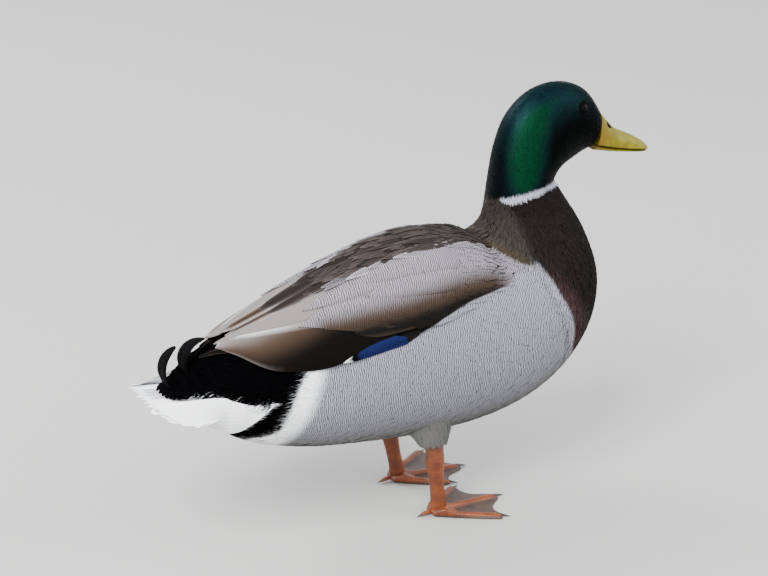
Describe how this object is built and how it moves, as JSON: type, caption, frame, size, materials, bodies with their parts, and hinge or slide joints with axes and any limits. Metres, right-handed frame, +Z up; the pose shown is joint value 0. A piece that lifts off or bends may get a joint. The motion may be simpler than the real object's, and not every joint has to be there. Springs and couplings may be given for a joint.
{
  "type": "mallard duck model",
  "caption": "Life-size standing drake mallard model with head up, wings folded, curled tail feathers and both webbed feet flat on the floor.",
  "frame": {"origin": "under the middle of the bird's box, at floor level", "axes": "+X the way the bird faces, along its length; +Y to its left; +Z up"},
  "size_m": [0.4418, 0.136, 0.3298],
  "materials": {
    "plumage_green": "iridescent green feathers, near black off the sheen",
    "plumage_chestnut": "dark chestnut-brown feathers",
    "plumage_grey": "pale grey feathers, finely barred",
    "plumage_brown": "grey-brown feathers",
    "plumage_black": "velvet black feathers",
    "plumage_white": "white feathers",
    "bill": "satin horn, olive yellow",
    "leg_skin": "orange scaly skin",
    "claw": "dark horn",
    "eye": "wet dark brown"
  },
  "bodies": {
    "root": {"bill_lower": "bill", "bill_upper": "bill", "breast": "plumage_chestnut", "claw_hind_left": "claw", "claw_hind_right": "claw", "claw_inner_left": "claw", "claw_inner_right": "claw", "claw_middle_left": "claw", "claw_middle_right": "claw", "claw_outer_left": "claw", "claw_outer_right": "claw", "curl_inner_left": "plumage_black", "curl_inner_right": "plumage_black", "curl_outer_left": "plumage_black", "curl_outer_right": "plumage_black", "eye_left": "eye", "eye_right": "eye", "foot_left": "leg_skin", "foot_right": "leg_skin", "head": "plumage_green", "hind_toe_left": "leg_skin", "hind_toe_right": "leg_skin", "neck": "plumage_chestnut", "rump": "plumage_black", "tail": "plumage_white", "tarsus_left": "leg_skin", "tarsus_right": "leg_skin", "tertials_left": "plumage_brown", "tertials_right": "plumage_brown", "thigh_left": "plumage_grey", "thigh_right": "plumage_grey", "trunk": "plumage_grey", "wing_left": "plumage_grey", "wing_right": "plumage_grey"}
  },
  "joints": []
}
